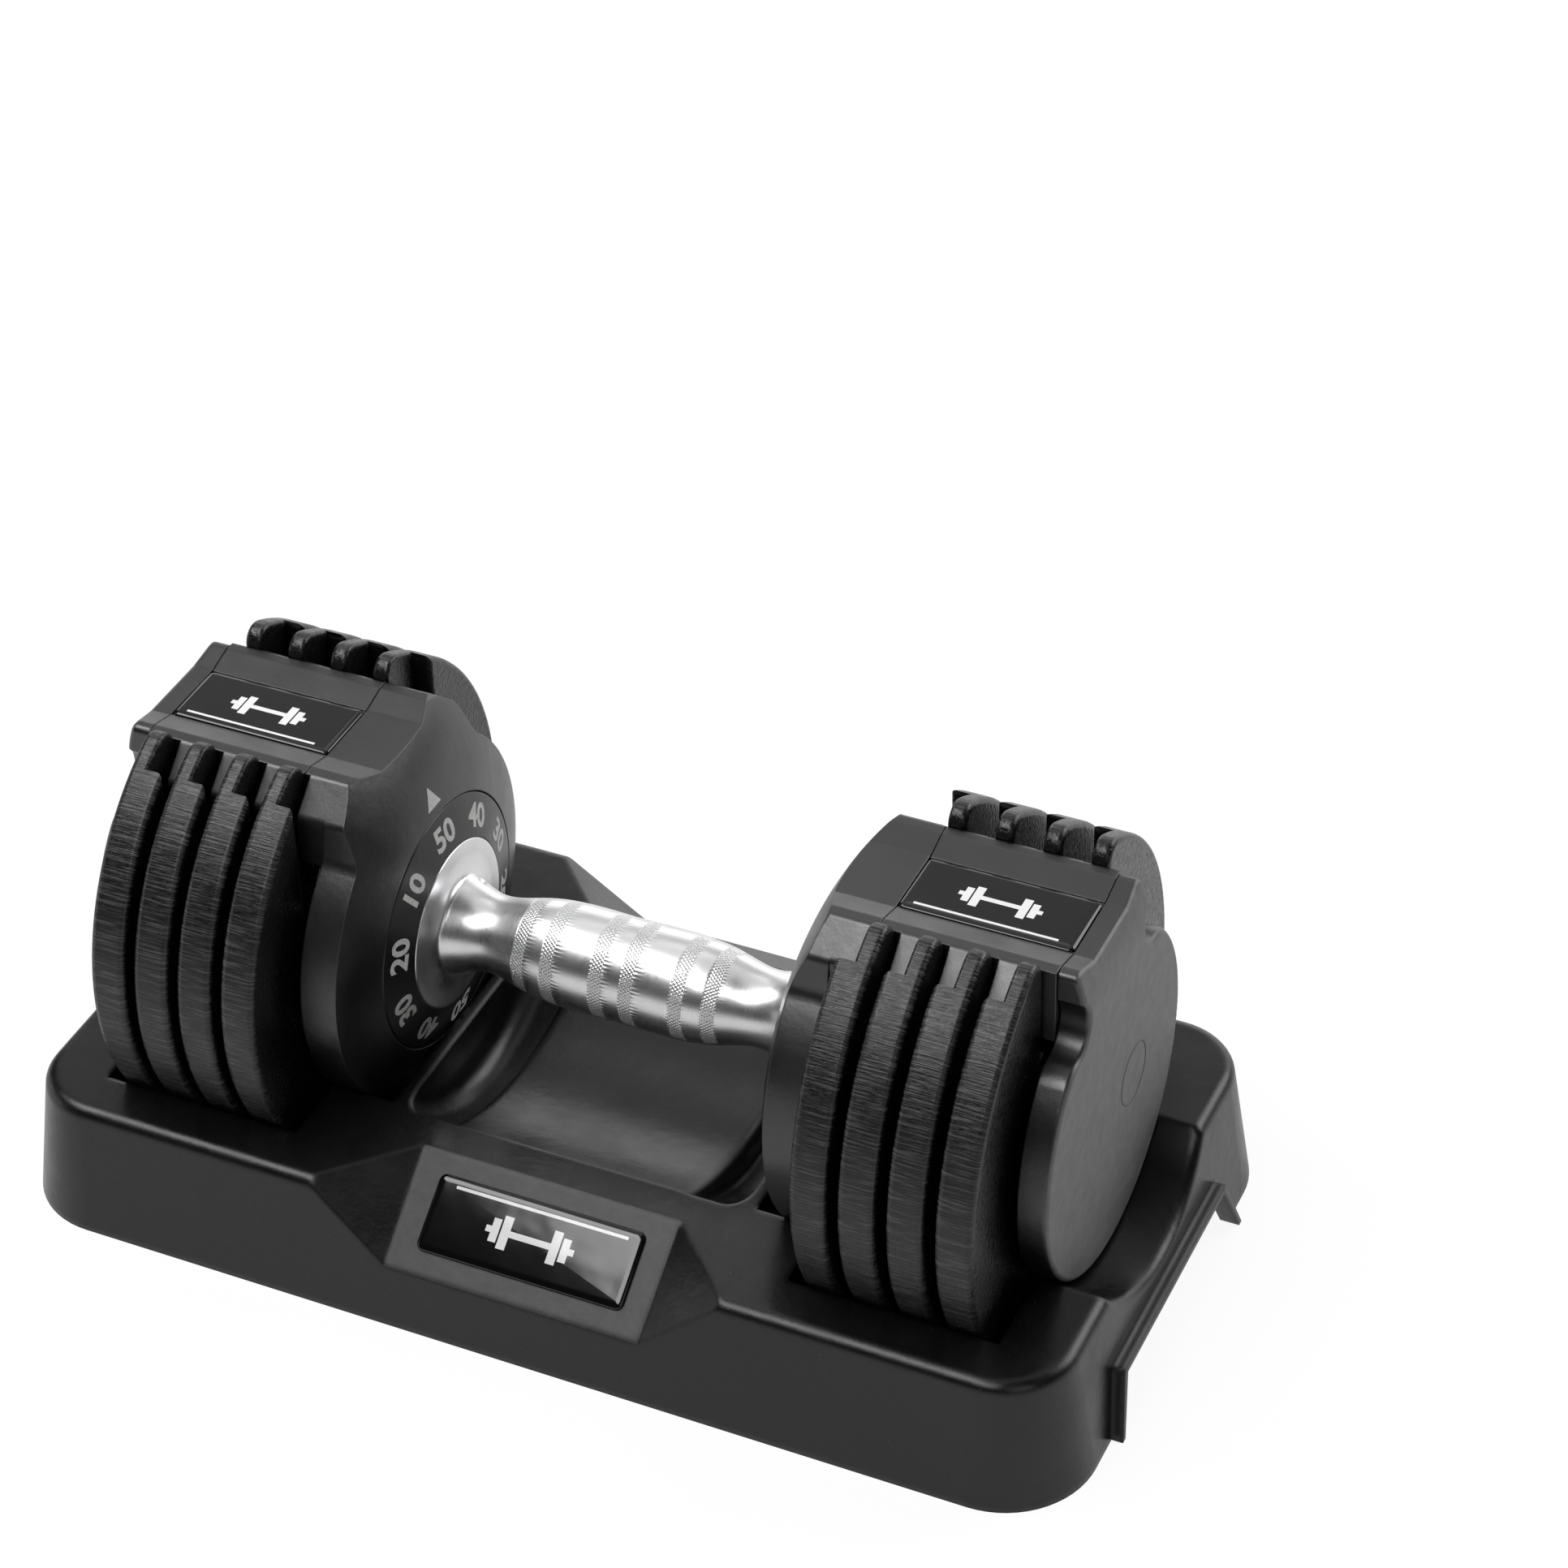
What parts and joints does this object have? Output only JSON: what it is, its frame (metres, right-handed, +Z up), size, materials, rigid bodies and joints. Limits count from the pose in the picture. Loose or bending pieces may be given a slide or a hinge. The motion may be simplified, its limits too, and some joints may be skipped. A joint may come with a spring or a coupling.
{
  "type": "adjustable dumbbell",
  "caption": "Adjustable dumbbell resting in a moulded storage tray; twisting the steel handle turns numbered dials and discs that pick up or leave slotted iron plates at each end.",
  "frame": {"origin": "on the floor under the middle of the tray", "axes": "+X along the handle, +Y to the back of the tray, +Z up"},
  "size_m": [0.4402, 0.2258, 0.1858],
  "materials": {
    "tray_plastic": "matte black moulded",
    "head_plastic": "satin black moulded",
    "dial_plastic": "satin black with white numbers",
    "label_resin": "glossy domed resin",
    "plate_iron": "black paint over cast iron",
    "grip_steel": "satin with knurled bands",
    "inner_steel": "zinc plated",
    "bush_brass": "turned"
  },
  "bodies": {
    "tray": {"tray_shell": "tray_plastic", "tray_badge": "label_resin"},
    "frame": {"inner_housing_left": "head_plastic", "inner_housing_right": "head_plastic", "back_plate_left": "head_plastic", "back_plate_right": "head_plastic", "back_plate_screws_left": "inner_steel", "back_plate_screws_right": "inner_steel", "bridge_cover_left": "head_plastic", "bridge_cover_right": "head_plastic", "cover_screws_left": "inner_steel", "cover_screws_right": "inner_steel", "head_label_left": "label_resin", "head_label_right": "label_resin", "end_cap_left": "head_plastic", "end_cap_right": "head_plastic", "inner_bush_left": "bush_brass", "inner_bush_right": "bush_brass", "outer_bush_left": "bush_brass", "outer_bush_right": "bush_brass", "lock_spring_left": "inner_steel", "lock_spring_right": "inner_steel"},
    "handle": {"handle_grip": "grip_steel", "handle_shaft": "inner_steel", "handle_pin_left": "inner_steel", "handle_pin_right": "inner_steel", "dial_ring_left": "dial_plastic", "dial_ring_right": "dial_plastic", "lock_disc_left": "inner_steel", "lock_disc_right": "inner_steel", "shaft_spacers_left": "inner_steel", "shaft_spacers_right": "inner_steel", "shaft_washer_left": "inner_steel", "shaft_washer_right": "inner_steel", "shaft_nut_left": "inner_steel", "shaft_nut_right": "inner_steel", "selector_disc_left_1": "inner_steel", "selector_disc_left_2": "inner_steel", "selector_disc_left_3": "inner_steel", "selector_disc_left_4": "inner_steel", "selector_disc_right_1": "inner_steel", "selector_disc_right_2": "inner_steel", "selector_disc_right_3": "inner_steel", "selector_disc_right_4": "inner_steel"},
    "plate_left_1": {"plate_left_1": "plate_iron"},
    "plate_left_2": {"plate_left_2": "plate_iron"},
    "plate_left_3": {"plate_left_3": "plate_iron"},
    "plate_left_4": {"plate_left_4": "plate_iron"},
    "plate_right_1": {"plate_right_1": "plate_iron"},
    "plate_right_2": {"plate_right_2": "plate_iron"},
    "plate_right_3": {"plate_right_3": "plate_iron"},
    "plate_right_4": {"plate_right_4": "plate_iron"},
    "lock_slider_left": {"lock_slider_left": "inner_steel"},
    "lock_slider_right": {"lock_slider_right": "inner_steel"}
  },
  "joints": [
    {"name": "dumbbell_lift", "type": "slide", "parent": "tray", "child": "frame", "axis": [0, 0, 1], "range_m": [0, 0.25]},
    {"name": "handle_twist", "type": "hinge", "parent": "frame", "child": "handle", "pos_m": [0, 0, 0.0994], "axis": [1, 0, 0], "range_deg": [0, 144]},
    {"name": "plate_left_1_lift", "type": "slide", "parent": "tray", "child": "plate_left_1", "axis": [0, 0, 1], "range_m": [0, 0.25]},
    {"name": "plate_left_2_lift", "type": "slide", "parent": "tray", "child": "plate_left_2", "axis": [0, 0, 1], "range_m": [0, 0.25]},
    {"name": "plate_left_3_lift", "type": "slide", "parent": "tray", "child": "plate_left_3", "axis": [0, 0, 1], "range_m": [0, 0.25]},
    {"name": "plate_left_4_lift", "type": "slide", "parent": "tray", "child": "plate_left_4", "axis": [0, 0, 1], "range_m": [0, 0.25]},
    {"name": "plate_right_1_lift", "type": "slide", "parent": "tray", "child": "plate_right_1", "axis": [0, 0, 1], "range_m": [0, 0.25]},
    {"name": "plate_right_2_lift", "type": "slide", "parent": "tray", "child": "plate_right_2", "axis": [0, 0, 1], "range_m": [0, 0.25]},
    {"name": "plate_right_3_lift", "type": "slide", "parent": "tray", "child": "plate_right_3", "axis": [0, 0, 1], "range_m": [0, 0.25]},
    {"name": "plate_right_4_lift", "type": "slide", "parent": "tray", "child": "plate_right_4", "axis": [0, 0, 1], "range_m": [0, 0.25]},
    {"name": "lock_slider_left_drop", "type": "slide", "parent": "frame", "child": "lock_slider_left", "axis": [0, 0, -1], "range_m": [0, 0.006]},
    {"name": "lock_slider_right_drop", "type": "slide", "parent": "frame", "child": "lock_slider_right", "axis": [0, 0, -1], "range_m": [0, 0.006]}
  ],
  "couplings": [
    {"joint": "plate_left_1_lift", "follows": "dumbbell_lift", "ratio": 1},
    {"joint": "plate_left_2_lift", "follows": "dumbbell_lift", "ratio": 1},
    {"joint": "plate_left_3_lift", "follows": "dumbbell_lift", "ratio": 1},
    {"joint": "plate_left_4_lift", "follows": "dumbbell_lift", "ratio": 1},
    {"joint": "plate_right_1_lift", "follows": "dumbbell_lift", "ratio": 1},
    {"joint": "plate_right_2_lift", "follows": "dumbbell_lift", "ratio": 1},
    {"joint": "plate_right_3_lift", "follows": "dumbbell_lift", "ratio": 1},
    {"joint": "plate_right_4_lift", "follows": "dumbbell_lift", "ratio": 1},
    {"joint": "lock_slider_left_drop", "follows": "dumbbell_lift", "ratio": 0.024},
    {"joint": "lock_slider_right_drop", "follows": "dumbbell_lift", "ratio": 0.024}
  ]
}
